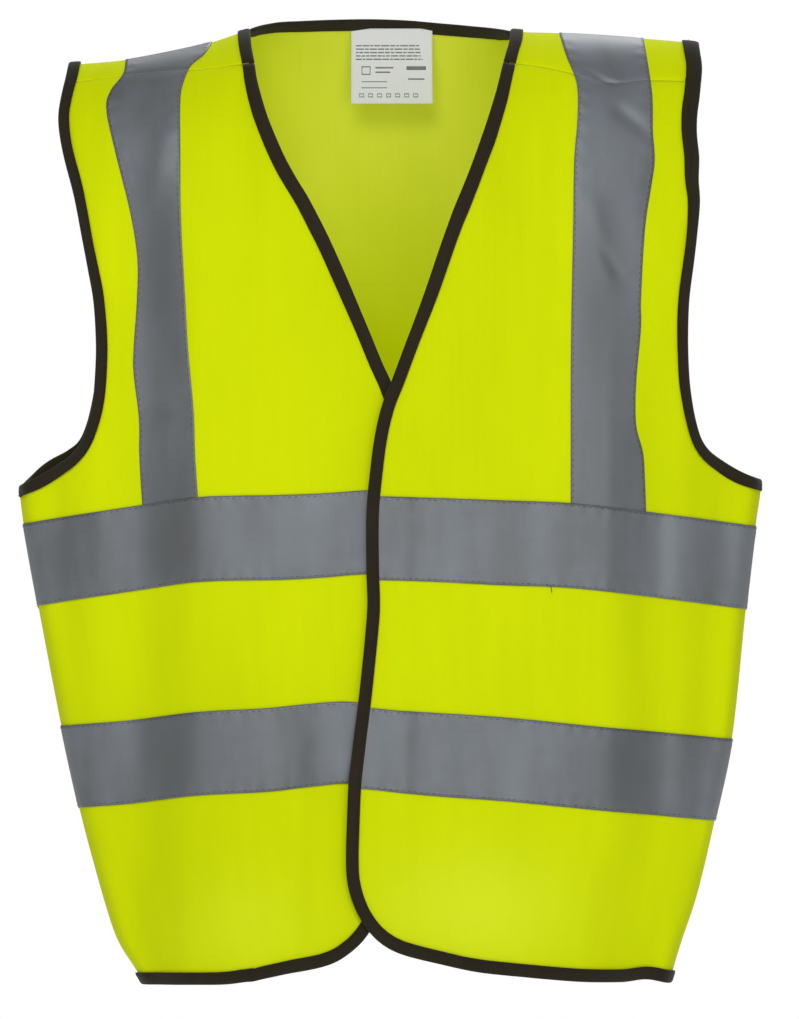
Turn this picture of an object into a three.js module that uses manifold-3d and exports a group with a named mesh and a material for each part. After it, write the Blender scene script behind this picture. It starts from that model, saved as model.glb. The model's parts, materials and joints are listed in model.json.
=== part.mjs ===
import * as THREE from 'three';
import ManifoldModule from 'manifold-3d';

// High visibility vest, worn upright: +Z up, the front faces -Y, X to the viewer's right.
// The origin is between the two neck points, on the line where the shoulders rest. All sizes in mm.

const wasm = await ManifoldModule();
wasm.setup();
const { Manifold, CrossSection, Mesh } = wasm;

// Cloth thicknesses and the gaps that keep neighbouring pieces apart
const CLOTH = 1.2;
const GAP = 0.4;
const PANEL = [0, CLOTH];
const SHOULDER_TAPE = [1.6, 2.2];
const BODY_TAPE = [2.6, 3.2];
const BINDING = [-1.0, 2.4];
const BINDING_SLOT = [-0.4, 1.6];
const LOOP_PATCH = [1.6, 2.9];
const HOOK_PATCH = [3.3, 4.5];
const FRONT_LIFT = 5.0;

// Widths
const TAPE_WIDTH = 50;
const SHOULDER_TAPE_WIDTH = 46;
const BINDING_WIDTH = 7.5;
const BINDING_FOLD = 1.0;
const PATCH_WIDTH = 16;

// Body shape: edge of the body to each side, depth of the body and height of the shoulder line
const SIDE_RIGHT = [[-620, -140], [-581, -150], [-557, -164], [-542, -170], [-504, -181],
  [-471, -189], [-423, -200], [-350, -214], [-300, -223], [-281, -226]];
const SIDE_LEFT = [[-620, 160], [-581, 169], [-557, 176], [-527, 186], [-481, 197],
  [-431, 208], [-352, 216], [-301, 222], [-281, 225]];
const DEPTH = [[-620, 70], [-581, 72], [-423, 76], [-281, 78], [-150, 77], [60, 76]];
const SHOULDER = [[-240, -24], [-189, -18], [-162, -15.5], [-137, -11], [-109, -6], [-94, -1],
  [-75, 7], [-50, 19], [-25, 27], [0, 29], [25, 27], [50, 15], [75, 2], [104, -0.6],
  [155, -4], [189, -7], [240, -12]];
const SHOULDER_ROUND = 130;
const CORNER_POWER = 2.6;

// Columns across the body, as a share of its half width, and the level rows below the shoulders
const COLUMNS = [0, 0.12, 0.24, 0.36, 0.49, 0.62, 0.75, 0.86, 0.94, 0.985, 1];
const ROWS = [-620, -575, -525, -460, -370, -281];
const SHOULDER_ROWS = 5;

// Edges of the pieces seen from the front, x and z, each a smooth curve through its points
const NECK_RIGHT = [[-86, 40], [-85.5, 0], [-80.5, -31], [-65.5, -73], [-48, -104],
  [-20.5, -163], [-5.5, -199], [7, -232]];
const CENTRE_RIGHT = [[13, -258], [13, -345], [8, -410], [2, -480], [-3, -524], [-13, -549],
  [-36, -567], [-66, -574], [-100, -580], [-150, -581], [-300, -581]];
const NECK_LEFT = [[74, 40], [73, -1], [63.5, -40], [54, -68], [37, -112], [19.5, -163],
  [5, -199], [-4, -224]];
const CENTRE_LEFT = [[-12, -258], [-14.5, -300], [-14, -350], [-22, -431], [-26.5, -500],
  [-18, -541], [6, -561], [55, -573], [117, -579], [170, -580], [300, -580]];
const ARMHOLE_RIGHT = [[-300, -276], [-228, -276], [-203, -263], [-188, -247], [-181, -222],
  [-180, -180], [-187, -126], [-198, -78], [-202, -53], [-198, -22], [-197, 60]];
const ARMHOLE_LEFT = [[300, -274], [227, -274], [203, -262], [190, -248], [184, -222],
  [182, -180], [187, -126], [188, -78], [187.5, -50], [190, -22], [189, 60]];
const BACK_ARMHOLE_RIGHT = [[-300, -272], [-228, -272], [-205, -258], [-192, -242], [-185, -218],
  [-183, -180], [-188, -126], [-198, -78], [-202, -53], [-198, -22], [-197, 60]];
const BACK_ARMHOLE_LEFT = [[300, -270], [227, -270], [206, -257], [193, -242], [188, -218],
  [185, -180], [188, -126], [188, -78], [187.5, -50], [190, -22], [189, 60]];
const BACK_NECK = [[-86, 60], [-86, 12], [-83, 4], [-72, 6], [-24, 9], [6, 8.5], [40, 6],
  [64, 3], [71, 2], [74, 12], [74, 60]];
const BACK_HEM = [[-300, -581], [-150, -581], [-100, -572], [-5, -545], [95, -570], [169, -580],
  [300, -580]];
const SHOULDER_SEAM = [[-300, -34], [-198, -30], [-88, -18], [-60, -17], [60, -17], [80, -18],
  [190, -30], [300, -34]];

// Top edges of the tapes and middle lines of the shoulder tapes
const UPPER_TAPE_FRONT = [[-300, -313], [-224, -300], [-150, -288], [-116, -284], [-66, -282],
  [0, -282], [75, -285], [155, -292], [223, -301], [300, -312]];
const LOWER_TAPE_FRONT = [[-300, -432], [-201, -423], [-118, -414], [-75, -411], [-18, -409],
  [6, -412], [68, -417], [128, -423], [209, -431], [300, -440]];
const UPPER_TAPE_BACK = [[-300, -301], [-220, -300], [0, -294], [220, -301], [300, -302]];
const LOWER_TAPE_BACK = [[-300, -424], [-200, -423], [0, -417], [205, -431], [300, -434]];
const SHOULDER_TAPE_RIGHT = [[-134, 60], [-136, -10], [-149, -48], [-146, -90], [-140, -163],
  [-137, -230], [-134, -296]];
const SHOULDER_TAPE_LEFT = [[131, 60], [132, -10], [136, -50], [135, -110], [131, -163],
  [130, -225], [132, -296]];

// Hinge lines of the two front flaps: x at the neck line and at the hem
const HEM = -581;
const FOLD_RIGHT = [[-62, 0], [-105, HEM]];
const FOLD_LEFT = [[52, 0], [105, HEM]];

// Front fastening patches: bottom, top, x of the middle of the loop patch and of the hook patch
const PATCHES = [
  { at: 'top', low: -277, high: -245, loop: -5.5, hook: 6.5 },
  { at: 'middle', low: -398, high: -356, loop: -7.5, hook: 2.5 },
  { at: 'bottom', low: -517, high: -482, loop: -19.5, hook: -8.8 },
];

// Size label inside the back neck
const LABEL = { width: 50, height: 44, thick: 0.6, x: 1, top: 0.4, y: 43.0 };

const COLOURS = {
  cloth: [0xcbdd00, 0.85],
  tape: [0x9ca2a8, 0.45],
  binding: [0x24211c, 0.8],
  hook: [0x1d1c1a, 0.9],
  loop: [0x2a2824, 0.95],
  label: [0xe4e5e8, 0.7],
};

// Value of a smooth curve through [position, value] pairs
function along(table, q) {
  const last = table.length - 1;
  if (q <= table[0][0]) return table[0][1];
  if (q >= table[last][0]) return table[last][1];
  let i = 0;
  while (q > table[i + 1][0]) i += 1;
  const slope = (k) => {
    const a = table[Math.max(k - 1, 0)];
    const b = table[Math.min(k + 1, last)];
    return (b[1] - a[1]) / (b[0] - a[0]);
  };
  const [q0, v0] = table[i];
  const [q1, v1] = table[i + 1];
  const span = q1 - q0;
  const t = (q - q0) / span;
  return v0 * (1 + 2 * t) * (1 - t) ** 2 + slope(i) * span * t * (1 - t) ** 2
    + v1 * t * t * (3 - 2 * t) + slope(i + 1) * span * t * t * (t - 1);
}

function smooth(from, to, q) {
  const t = Math.min(Math.max((q - from) / (to - from), 0), 1);
  return t * t * (3 - 2 * t);
}

// Middle surface of the cloth as a closed body: shell of columns and rows, `side` -1 front, 1 back
function bodyPoint(share, side, z, bend, lifted) {
  const right = along(SIDE_RIGHT, z);
  const left = along(SIDE_LEFT, z);
  const x = (left + right) / 2 + share * (left - right) / 2;
  const level = bend === null ? z : along(SHOULDER, x) - SHOULDER_ROUND * (1 - Math.sin(bend));
  const round = bend === null ? 1 : Math.cos(bend);
  const corner = (1 - Math.abs(share) ** CORNER_POWER) ** (1 / CORNER_POWER);
  const lift = lifted && side < 0
    ? FRONT_LIFT * smooth(95, 50, x) * smooth(-40, -100, level) : 0;
  return new THREE.Vector3(x, side * along(DEPTH, level) * corner * round - lift, level);
}

function bodyShape(lifted) {
  const shares = [...COLUMNS.slice(1).reverse().map((s) => -s), ...COLUMNS];
  const half = shares.length - 1;
  const around = 2 * half;
  const levels = ROWS.map((z) => [z, null]);
  for (let i = 0; i <= SHOULDER_ROWS; i += 1) levels.push([0, (i / SHOULDER_ROWS) * Math.PI / 2]);
  const top = levels.length - 1;
  const points = [];
  levels.forEach(([z, bend]) => {
    for (let k = 0; k < around; k += 1) {
      const front = k <= half;
      const share = front ? shares[k] : shares[around - k];
      points.push(bodyPoint(share, front ? -1 : 1, z, bend, lifted));
    }
  });
  const index = (row, k) => {
    const column = k % around;
    return row * around + (row === top && column > half ? around - column : column);
  };
  const faces = [];
  for (let row = 0; row < top; row += 1) {
    for (let k = 0; k < around; k += 1) {
      const a = index(row, k);
      const b = index(row, k + 1);
      const c = index(row + 1, k + 1);
      const d = index(row + 1, k);
      faces.push(a, b, c, a, c, d);
    }
  }
  const skin = new THREE.BufferGeometry().setFromPoints(points);
  skin.setIndex(faces);
  skin.computeVertexNormals();
  return { points, faces, normals: skin.attributes.normal, around, rows: levels.length };
}

// Closed body whose skin lies `offset` outside the middle surface
function grown(shape, offset) {
  const used = new Map();
  const coordinates = [];
  const keep = (i) => {
    if (!used.has(i)) {
      used.set(i, used.size);
      const n = new THREE.Vector3().fromBufferAttribute(shape.normals, i);
      coordinates.push(...shape.points[i].clone().addScaledVector(n, offset).toArray());
    }
    return used.get(i);
  };
  const triangles = shape.faces.map(keep);
  const foot = used.size;
  coordinates.push(0, 0, ROWS[0] - offset);
  for (let k = 0; k < shape.around; k += 1) {
    triangles.push(foot, keep((k + 1) % shape.around), keep(k));
  }
  return new Manifold(new Mesh({
    numProp: 3,
    vertProperties: new Float32Array(coordinates),
    triVerts: new Uint32Array(triangles),
  }));
}

const shapes = { plain: bodyShape(false), raised: bodyShape(true) };
const layers = new Map();

// Layer of cloth between two offsets
function layer([inner, outer], name) {
  const key = `${name} ${inner} ${outer}`;
  if (!layers.has(key)) {
    layers.set(key, grown(shapes[name], outer).subtract(grown(shapes[name], inner)));
  }
  return layers.get(key);
}

// Straight block standing on an outline drawn in x and z, from y = `near` to y = `far`
function block(outline, near, far) {
  return outline.extrude(far - near).rotate([90, 0, 0]).translate([0, far, 0]);
}

function curve(points, steps = 2) {
  const spline = new THREE.SplineCurve(points.map(([x, z]) => new THREE.Vector2(x, z)));
  return spline.getPoints(steps * (points.length - 1)).map((p) => [p.x, p.y]);
}

function outline(points) {
  const drawn = new CrossSection([points], 'NonZero');
  return drawn.area() > 0 ? drawn : new CrossSection([[...points].reverse()], 'NonZero');
}

function band(top, height) {
  const upper = curve(top);
  const lower = upper.map(([x, z]) => [x, z - height]);
  return outline([...lower, ...upper.reverse()]);
}

function strip(middle, width) {
  const line = curve(middle);
  return outline([
    ...line.map(([x, z]) => [x - width / 2, z]),
    ...line.reverse().map(([x, z]) => [x + width / 2, z]),
  ]);
}

function rectangle(x0, z0, x1, z1) {
  return outline([[x0, z0], [x1, z0], [x1, z1], [x0, z1]]);
}

const shrink = (shape, by) => shape.offset(-by, 'Miter', 2);

// Outlines of the three cloth panels, drawn to their bound edges
const rightFront = outline([...curve([...NECK_RIGHT, ...CENTRE_RIGHT]), ...curve(ARMHOLE_RIGHT)]);
const leftFront = outline([...curve([...NECK_LEFT, ...CENTRE_LEFT]), ...curve(ARMHOLE_LEFT)]);
const back = outline([
  ...curve(BACK_HEM), ...curve(BACK_ARMHOLE_LEFT), ...curve(BACK_NECK).reverse(),
  ...curve(BACK_ARMHOLE_RIGHT).reverse(),
]);

// Regions that divide them: above the shoulder seam, and inside or outside of each hinge line
const seamLine = curve(SHOULDER_SEAM, 2);
const aboveSeam = outline([...seamLine, [300, 90], [-300, 90]]);
const belowSeam = outline([...seamLine, [300, -700], [-300, -700]]);

function beside([[x0, z0], [x1, z1]], shift, reach) {
  const slope = (x1 - x0) / (z1 - z0);
  const high = x0 + slope * (100 - z0) + shift;
  const low = x0 + slope * (-700 - z0) + shift;
  return outline([[high, 100], [low, -700], [reach, -700], [reach, 100]]);
}

const half = GAP / 2;
const zones = {
  right_side: beside(FOLD_RIGHT, -half, -400),
  right_flap: beside(FOLD_RIGHT, half, 400),
  left_side: beside(FOLD_LEFT, half, 400),
  left_flap: beside(FOLD_LEFT, -half, -400),
};
const armZone = {
  right: rectangle(-400, -330, -160, 90),
  left: rectangle(160, -330, 400, 90),
};
const frontOf = { right: rightFront, left: leftFront };
const surfaceOf = { right: 'plain', left: 'raised' };

function frontPiece(shape, offsets, surface) {
  return layer(offsets, surface).intersect(block(shape, -200, -half));
}

function backPiece(shape, offsets) {
  return layer(offsets, 'plain').intersect(block(shape, half, 200));
}

// Folded strip along one or more edges, with a slot that takes the edges of the panels.
// Each piece is a function that places an outline, the panel outline and the zone of the strip.
function boundEdge(pieces) {
  const strips = pieces.map(([place, whole, zone]) => place(
    whole.subtract(shrink(whole, BINDING_WIDTH)).intersect(zone), BINDING,
  ));
  const slots = pieces.map(([place, whole]) => place(shrink(whole, BINDING_FOLD), BINDING_SLOT));
  return Manifold.union(strips).subtract(Manifold.union(slots));
}

const group = new THREE.Group();
group.name = 'high_visibility_vest';

function add(name, solid, finish) {
  const parts = solid.decompose();
  parts.sort((a, b) => b.volume() - a.volume());
  const { vertProperties, triVerts, numProp } = parts[0].getMesh();
  const geometry = new THREE.BufferGeometry();
  const position = new Float32Array((vertProperties.length / numProp) * 3);
  for (let i = 0; i < position.length / 3; i += 1) {
    for (let axis = 0; axis < 3; axis += 1) {
      position[3 * i + axis] = vertProperties[numProp * i + axis];
    }
  }
  geometry.setAttribute('position', new THREE.BufferAttribute(position, 3));
  geometry.setIndex(new THREE.BufferAttribute(new Uint32Array(triVerts), 1));
  geometry.computeVertexNormals();
  const [color, roughness] = COLOURS[finish];
  const mesh = new THREE.Mesh(geometry, new THREE.MeshStandardMaterial({
    color, roughness, metalness: 0,
  }));
  mesh.name = name;
  group.add(mesh);
}

// Back panel: the back itself and the parts that come forward over the shoulders to the seam
function overShoulder(region, offsets) {
  const solid = block(region.intersect(shrink(aboveSeam, half)), -200, half + 1);
  return layer(offsets, 'plain').intersect(solid);
}

const panelOutline = (shape) => shrink(shape, BINDING_FOLD + GAP);
add('back_panel', Manifold.union([
  backPiece(panelOutline(back), PANEL),
  overShoulder(panelOutline(rightFront), PANEL),
  overShoulder(panelOutline(leftFront), PANEL),
]), 'cloth');

// Front panels, tapes and edge bindings, each divided at the hinge line of its flap
const upperFront = band(UPPER_TAPE_FRONT, TAPE_WIDTH);
const lowerFront = band(LOWER_TAPE_FRONT, TAPE_WIDTH);
for (const side of ['right', 'left']) {
  const surface = surfaceOf[side];
  const whole = frontOf[side];
  const inside = shrink(whole, BINDING_WIDTH + GAP);
  for (const part of ['side', 'flap']) {
    const zone = zones[`${side}_${part}`];
    const end = part === 'flap' ? '_flap' : '';
    const cut = (shape) => shape.intersect(zone).intersect(shrink(belowSeam, half));
    add(`front_panel_${side}${end}`, frontPiece(cut(panelOutline(whole)), PANEL, surface), 'cloth');
    add(`upper_tape_${side}${end}`, frontPiece(cut(inside.intersect(upperFront)), BODY_TAPE, surface), 'tape');
    add(`lower_tape_${side}${end}`, frontPiece(cut(inside.intersect(lowerFront)), BODY_TAPE, surface), 'tape');
  }
  const place = (shape, offsets) => frontPiece(shape, offsets, surface);
  const edge = (zone) => boundEdge([[place, whole, zone]]);
  const middle = rectangle(-160, -700, 160, 90).intersect(shrink(belowSeam, half));
  const upperEdge = zones[`${side}_side`].intersect(middle).intersect(rectangle(-160, -200, 160, 90));
  const lowerEdge = zones[`${side}_side`].intersect(rectangle(-300, -700, 300, -400));
  add(`edge_binding_${side}_neck`, edge(upperEdge), 'binding');
  add(`edge_binding_${side}_flap`, edge(zones[`${side}_flap`].intersect(middle)), 'binding');
  add(`edge_binding_${side}_hem`, edge(lowerEdge), 'binding');
}

// Back tapes, and the four shoulder tapes that meet at the shoulder seams
const backInside = shrink(back, BINDING_WIDTH + GAP);
const upperBack = band(UPPER_TAPE_BACK, TAPE_WIDTH);
add('upper_tape_back', backPiece(backInside.intersect(upperBack), BODY_TAPE), 'tape');
add('lower_tape_back', backPiece(backInside.intersect(band(LOWER_TAPE_BACK, TAPE_WIDTH)), BODY_TAPE), 'tape');
const shoulderStrip = {
  right: strip(SHOULDER_TAPE_RIGHT, SHOULDER_TAPE_WIDTH),
  left: strip(SHOULDER_TAPE_LEFT, SHOULDER_TAPE_WIDTH),
};
for (const side of ['right', 'left']) {
  const line = shoulderStrip[side];
  add(`shoulder_tape_front_${side}`, frontPiece(
    line.intersect(shrink(belowSeam, half)), SHOULDER_TAPE, surfaceOf[side],
  ), 'tape');
  add(`shoulder_tape_back_${side}`, Manifold.union([
    backPiece(line.intersect(rectangle(-300, -306, 300, 90)), SHOULDER_TAPE),
    overShoulder(line, SHOULDER_TAPE),
  ]), 'tape');
}

// Bindings of the back neck, the back hem and the armholes
const neckZone = rectangle(-105, -200, 105, 90);
const placeFront = (shape, offsets) => layer(offsets, 'plain').intersect(block(shape, -200, 0.5));
const placeBack = (shape, offsets) => layer(offsets, 'plain').intersect(block(shape, -0.5, 200));
add('neck_binding_back', boundEdge([
  [placeBack, back, neckZone],
  [placeFront, rightFront, neckZone.intersect(shrink(aboveSeam, half))],
  [placeFront, leftFront, neckZone.intersect(shrink(aboveSeam, half))],
]), 'binding');
add('hem_binding_back', boundEdge([
  [backPiece, back, rectangle(-300, -700, 300, -500)],
]), 'binding');
for (const side of ['right', 'left']) {
  add(`armhole_binding_${side}`, boundEdge([
    [placeFront, frontOf[side], armZone[side]],
    [placeBack, back, armZone[side]],
  ]), 'binding');
}

// Hook patches inside the left flap meet loop patches outside the right flap
for (const { at, low, high, loop, hook } of PATCHES) {
  const patch = (x) => rectangle(x - PATCH_WIDTH / 2, low, x + PATCH_WIDTH / 2, high);
  add(`loop_patch_${at}`, frontPiece(patch(loop), LOOP_PATCH, 'plain'), 'loop');
  add(`hook_patch_${at}`, frontPiece(patch(hook), HOOK_PATCH, 'plain'), 'hook');
}

// Label hanging from the back neck binding
add('size_label', Manifold.cube([LABEL.width, LABEL.thick, LABEL.height], true).translate(
  [LABEL.x, LABEL.y - LABEL.thick / 2, LABEL.top - LABEL.height / 2],
), 'label');

export default group;
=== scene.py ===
import json
import math

import bpy
import numpy as np
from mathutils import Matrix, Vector


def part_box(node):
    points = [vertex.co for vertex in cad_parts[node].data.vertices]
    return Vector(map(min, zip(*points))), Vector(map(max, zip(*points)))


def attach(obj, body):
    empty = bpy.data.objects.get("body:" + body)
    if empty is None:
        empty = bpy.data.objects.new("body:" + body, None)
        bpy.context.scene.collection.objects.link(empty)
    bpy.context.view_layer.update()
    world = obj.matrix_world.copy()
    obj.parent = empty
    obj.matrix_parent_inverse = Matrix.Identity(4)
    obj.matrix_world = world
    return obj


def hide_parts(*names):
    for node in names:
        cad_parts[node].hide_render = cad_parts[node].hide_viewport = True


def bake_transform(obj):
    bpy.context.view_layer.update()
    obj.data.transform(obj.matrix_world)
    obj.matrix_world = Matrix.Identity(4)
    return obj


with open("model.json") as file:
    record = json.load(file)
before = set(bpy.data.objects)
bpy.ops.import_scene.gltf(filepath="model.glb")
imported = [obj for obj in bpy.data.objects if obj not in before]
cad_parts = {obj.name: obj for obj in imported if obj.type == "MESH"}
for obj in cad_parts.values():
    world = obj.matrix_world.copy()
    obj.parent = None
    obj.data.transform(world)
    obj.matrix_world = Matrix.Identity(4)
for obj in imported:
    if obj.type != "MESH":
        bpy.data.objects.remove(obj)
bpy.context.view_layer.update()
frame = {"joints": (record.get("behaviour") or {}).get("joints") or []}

# == Shape of the vest's body, in mm, as the CAD has it: origin between the neck points, -Y is the front
SIDE_RIGHT = [(-620, -140), (-581, -150), (-557, -164.5), (-542, -170.5), (-504, -181.5),
              (-471, -190), (-423, -200.5), (-350, -214.5), (-300, -223.5), (-281, -226)]
SIDE_LEFT = [(-620, 160), (-581, 170), (-557, 177), (-527, 187), (-481, 198),
             (-431, 208.5), (-352, 217), (-301, 223), (-281, 226)]
DEPTH = [(-620, 70), (-581, 72), (-423, 76), (-281, 78), (-150, 77), (60, 76)]
SHOULDER = [(-240, -24), (-205, -19.5), (-197, -18.5), (-189, -18), (-162, -15.5), (-137, -11),
            (-109, -4.6), (-94, 0.3), (-86, 2.8), (-80, 7), (-70, 12.5), (-60, 17), (-40, 24), (0, 30),
            (40, 25), (56, 16.5), (64, 10.5), (69, 6), (74, 2.4), (84, 1.5), (104, 0.9), (155, -2.4),
            (189, -5.5), (240, -11.4)]
ROUND = 130.0
POWER = 2.6
LIFT = 5.0
HALF = 226.0
DEEP = 76.0
QUARTER = ROUND * math.pi / 2
SIDE_EASE = 0.7

# Free edges seen from the front, x and z
NECK_RIGHT = [(-85.7, 2.2), (-84.6, -8), (-82.7, -18), (-80.5, -31), (-74.5, -51), (-65.4, -73),
              (-57, -89), (-48, -104), (-35.4, -129), (-20.5, -163), (-5.5, -199.5), (1, -214),
              (7, -232), (11, -247), (13, -262)]
CENTRE_RIGHT = [(13.5, -300), (13, -345), (9, -410), (3, -480), (1, -505), (-4, -530),
                (-12.8, -549), (-24, -561), (-39, -569), (-66.5, -574.5), (-96, -580),
                (-125, -581), (-150, -580.8)]
NECK_LEFT = [(73.6, 1.6), (72.8, -5), (69.5, -17), (63.5, -40), (54.3, -68), (46, -90),
             (37.2, -112), (28, -138), (19.5, -163), (10.4, -187), (1.2, -211.7), (-3.7, -224),
             (-7.2, -236), (-9.6, -248), (-11.5, -262)]
CENTRE_LEFT = [(-13.9, -285), (-14.6, -305), (-14.2, -330), (-13.8, -350), (-15.4, -370),
               (-18.2, -398), (-22.2, -431), (-25.2, -458), (-26.4, -485), (-26.8, -505),
               (-26, -517), (-23, -529), (-17.5, -541), (-8, -553), (6, -561.5), (30.5, -568),
               (55, -573), (88, -576.5), (117, -579), (140, -579.3), (156, -577.5), (170, -580)]
ARM_RIGHT = [(-226, -276), (-222, -274), (-214, -270), (-203, -263.5), (-194, -257), (-188, -249),
             (-183.6, -237), (-181, -224), (-179.6, -205), (-179.4, -187), (-181, -163),
             (-184, -145), (-187.5, -126), (-192.5, -100), (-198.5, -77), (-201.5, -62),
             (-202.3, -50), (-200.6, -38), (-198, -26), (-196.8, -18.5)]
ARM_LEFT = [(226, -272), (220, -270), (211, -266), (203, -261), (195, -255), (189.7, -247.5),
            (186.2, -236), (184, -224), (182.4, -209), (181.7, -187), (182.4, -163),
            (185.2, -140), (187, -124), (188.7, -104), (188, -90), (188.3, -76), (187, -62),
            (187.3, -50), (189, -38), (190.6, -22), (189.6, -12), (189, -6.8)]
BACK_ARM_RIGHT = [(-226, -276), (-221, -271), (-214, -264), (-207, -259), (-198, -254),
                  (-190.5, -247), (-185, -231), (-180.8, -205), (-180.3, -180), (-184.8, -140),
                  (-190.8, -110), (-199, -78), (-202, -58), (-201, -40), (-198, -26), (-196.8, -18.5)]
BACK_ARM_LEFT = [(226, -272), (221, -270), (213, -266), (205, -261), (197, -255.5), (190.8, -246),
                 (186, -225), (183, -190), (183.8, -160), (187, -126), (189, -100), (188, -78),
                 (187, -56), (189, -38), (190.6, -22), (189.6, -12), (189, -6.8)]
BACK_NECK = [(-85.7, 2.2), (-81, 4.6), (-72, 6.9), (-60, 8.4), (-24, 10.2), (6, 9.8), (37, 7.2),
             (56, 5.2), (65, 3.9), (70, 2.8), (73.6, 1.6)]
BACK_HEM = [(-150, -580.8), (-128, -577), (-95, -568), (-50, -553), (-5, -546), (45, -552),
            (95, -568), (140, -577), (170, -580)]
SEAM = [(-240, -33), (-198, -30), (-160, -25.5), (-115, -22), (-88, -19), (-60, -18), (60, -18),
        (80, -19), (104, -23), (133, -31), (160, -29), (190, -30), (240, -34)]

UPPER_FRONT = {
    "right": [(-240, -303), (-224, -299.6), (-190, -294), (-150, -288), (-116, -283.3), (-66, -282),
              (-40, -281), (-10, -279), (20, -279)],
    "left": [(-20, -283), (0, -283), (75, -285.5), (110, -287), (155, -292), (223, -301), (240, -304)],
}
LOWER_FRONT = {
    "right": [(-240, -428), (-201, -423), (-185, -421.5), (-156, -419), (-118, -414), (-75, -411.5),
              (-50, -409), (-30, -407.5), (-18, -408), (10, -409)],
    "left": [(-30, -410), (-9.8, -411.5), (6, -413), (68, -417), (128, -423), (170, -427), (209, -431),
             (240, -434)],
}
TAPE_BACK = {
    "upper": [(-240, -301), (-223, -300), (-120, -296), (0, -295), (120, -297), (223, -301), (240, -302)],
    "lower": [(-240, -425), (-200, -423), (0, -418), (209, -431), (240, -433)],
}
# Left and right edges of the shoulder tapes on the front, downwards
SHOULDER_TAPE = {
    "right": ([(-161.5, -15.4), (-163, -25), (-170.8, -36), (-172.8, -48), (-166.5, -76),
               (-158, -110), (-153.7, -138), (-154, -163), (-156, -193), (-156, -208),
               (-152.7, -236), (-152.5, -258), (-150.5, -290), (-149, -305)],
              [(-109, -6), (-113.5, -13), (-121.4, -20), (-125.7, -30), (-127.7, -42),
               (-127.5, -76), (-127, -115), (-124.4, -163), (-122.6, -194), (-119.3, -231),
               (-118.3, -259), (-116.5, -285), (-115, -305)]),
    "left": ([(103.7, -0.4), (107.5, -14), (113.8, -32), (114, -54), (112, -79), (111.3, -120),
              (110.4, -163), (109.8, -209), (109.8, -250), (109.8, -287), (110, -305)],
             [(155, -3.7), (157.5, -20), (159.8, -39), (160, -60), (161, -78), (159.2, -92),
              (155, -120), (152.5, -163), (152.5, -180), (149.5, -214), (149.5, -239),
              (153.7, -256), (155, -275), (155.6, -292), (155.8, -305)]),
}


def along(table, q):
    t = np.array(table, float)
    pos, val = t[:, 0], t[:, 1]
    n = len(pos)
    before, after = np.maximum(np.arange(n) - 1, 0), np.minimum(np.arange(n) + 1, n - 1)
    slope = (val[after] - val[before]) / (pos[after] - pos[before])
    q = np.clip(np.asarray(q, float), pos[0], pos[-1])
    i = np.clip(np.searchsorted(pos, q) - 1, 0, n - 2)
    span = pos[i + 1] - pos[i]
    u = (q - pos[i]) / span
    return (val[i] * (1 + 2 * u) * (1 - u) ** 2 + slope[i] * span * u * (1 - u) ** 2
            + val[i + 1] * u * u * (3 - 2 * u) + slope[i + 1] * span * u * u * (u - 1))


def smooth(a, b, q):
    u = np.clip((np.asarray(q, float) - a) / (b - a), 0, 1)
    return u * u * (3 - 2 * u)


def bell(q, width):
    return np.exp(-((q / width) ** 2))


# Arc length across the nominal cross section: coordinate `across` runs from -REACH to REACH
_angle = np.linspace(0, math.pi / 2, 4000)
_share = np.sin(_angle) ** (2 / POWER)
_corner = np.clip(np.cos(_angle), 0, 1) ** (2 / POWER)
_arc = np.concatenate([[0], np.cumsum(np.hypot(np.diff(HALF * _share), np.diff(DEEP * _corner)))])
REACH = float(_arc[-1])


def share_of(across):
    return np.sign(across) * np.interp(np.abs(across), _arc, _share)


def across_of(share):
    return np.sign(share) * np.interp(np.abs(share), _share, _arc)


def middle_and_half(z):
    left, right = along(SIDE_LEFT, z), along(SIDE_RIGHT, z)
    return (left + right) / 2, (left - right) / 2 + SIDE_EASE


rng = np.random.default_rng(7)
_streaks = [(rng.uniform(0.02, 0.2), rng.uniform(-0.012, 0.012), rng.uniform(0, 6.28)) for _ in range(22)]


def streaks(x, z):
    """Faint, mostly upright unevenness of soft cloth."""
    total = np.zeros(np.broadcast(x, z).shape)
    for fx, fz, at in _streaks:
        total = total + np.sin(fx * x + fz * z + at) * 0.03 / fx ** 0.8 * 0.35
    return total * (0.7 + 0.3 * np.sin(0.011 * z + 0.006 * x))


def crease(x, z, start, end, width):
    """1 along the line from start to end, falling off over `width`."""
    (ax, az), (bx, bz) = start, end
    ex, ez = bx - ax, bz - az
    t = np.clip(((x - ax) * ex + (z - az) * ez) / (ex * ex + ez * ez), 0, 1)
    fade = np.sqrt(np.clip(4 * t * (1 - t) + 0.05, 0, 1))
    return bell(np.hypot(x - ax - t * ex, z - az - t * ez), width) * fade


# Start and end in x and z, width and height of each crease on the front
CREASES = [
    ((112, -20), (138, -33), 2.6, -1.1), ((136, -45), (158, -62), 4.5, -1.3),
    ((122, -100), (133, -160), 7, 1.4), ((126, -128), (140, -150), 4, -0.9),
    ((-161, -26), (-124, -22), 3.0, -0.8), ((-134, -50), (-146, -110), 8, 1.3),
    ((-127, -205), (-141, -175), 7, -1.0), ((-122, -235), (-150, -224), 5, -0.8),
    ((70, -110), (96, -40), 9, -1.2), ((24, -205), (44, -150), 8, -1.2), ((-60, -40), (-92, -60), 8, 0.8),
    ((20, -232), (34, -262), 7, -1.2), ((103, -45), (101, -190), 6, -1.8),
    ((-79, -470), (-80, -545), 14, -1.6), ((52, -160), (8, -275), 8, -1.7),
    ((-12, -350), (18, -420), 9, -1.0),
]


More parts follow.
